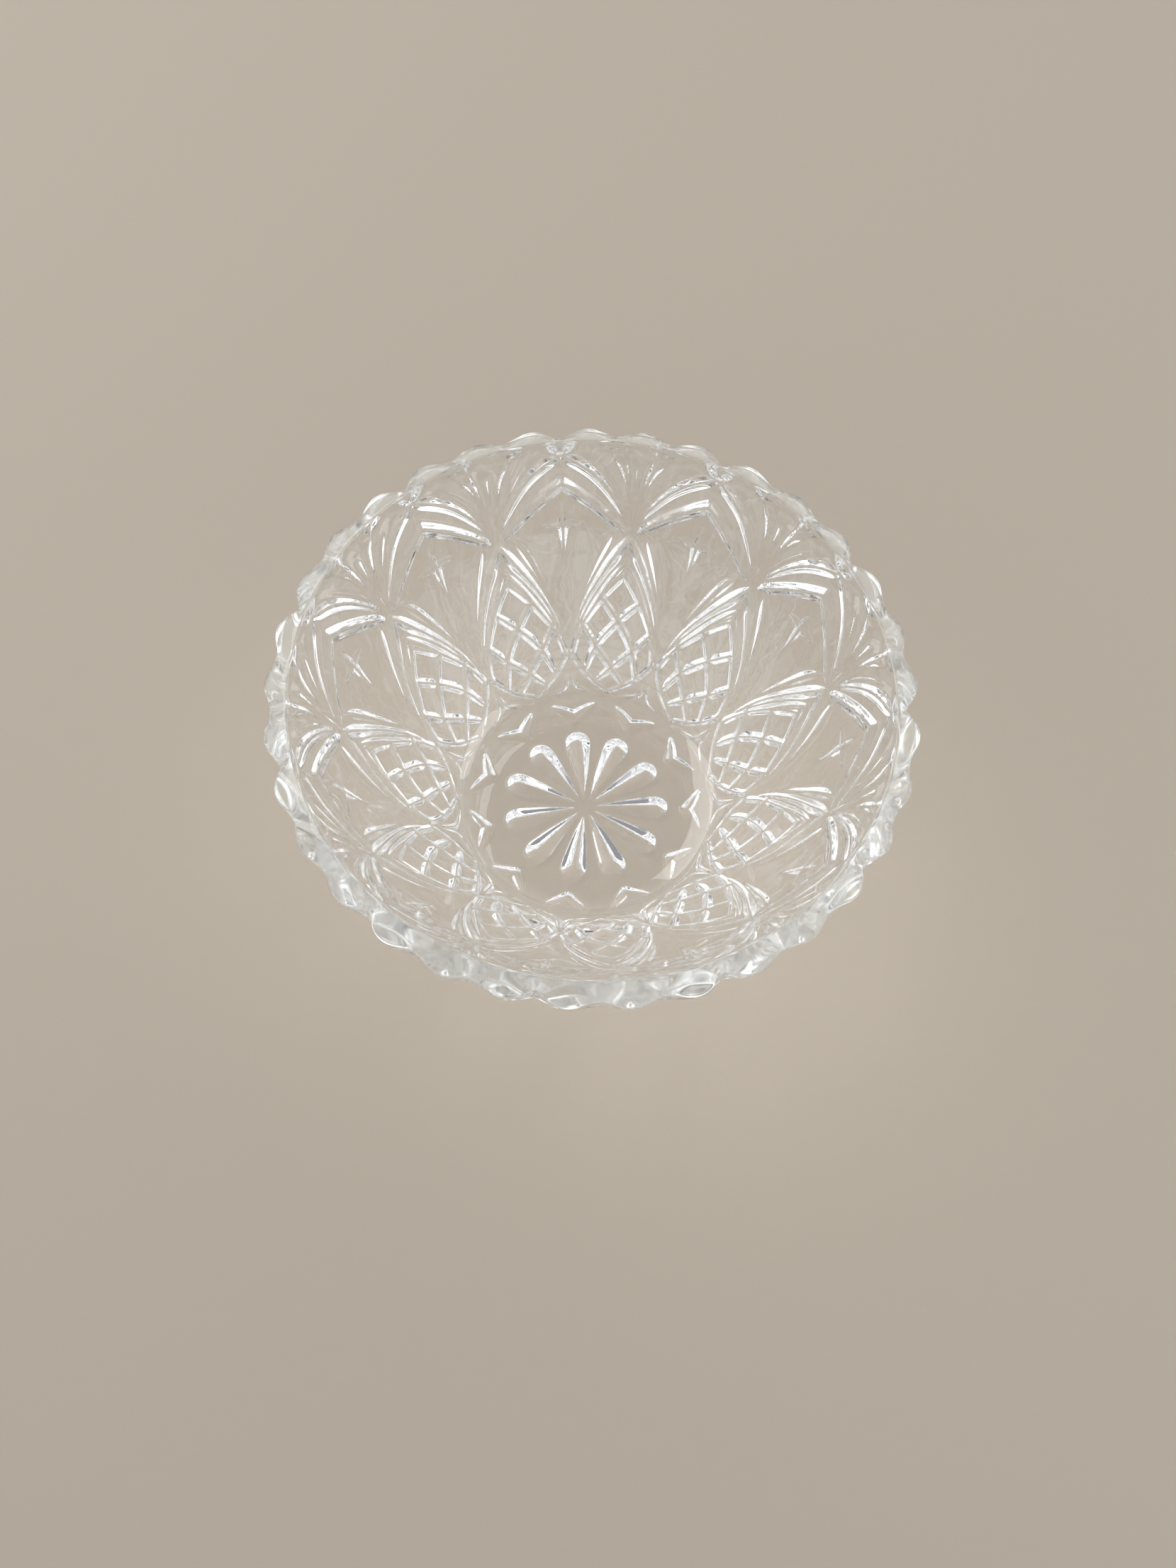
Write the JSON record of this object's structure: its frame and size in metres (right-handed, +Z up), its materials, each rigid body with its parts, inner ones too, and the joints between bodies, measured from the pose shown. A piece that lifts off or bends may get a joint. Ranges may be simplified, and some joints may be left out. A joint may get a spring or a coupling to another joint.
{
  "type": "dappen dish",
  "caption": "Round pressed-glass dish, open at the top, with a smooth inside, a scalloped rim and a pressed pattern outside, standing on a low foot ring.",
  "frame": {"origin": "on the bowl's axis, at the level of the foot ring that it stands on, which is the centre of the bottom of its box", "axes": "+Z up along the bowl's axis; a fan of the pattern is centred on +Y"},
  "size_m": [0.1254, 0.1253, 0.0534],
  "materials": {
    "glass": "clear colourless pressed glass, fire-polished smooth, with slightly rounded edges"
  },
  "bodies": {
    "root": {"glass_bowl": "glass"}
  },
  "joints": []
}
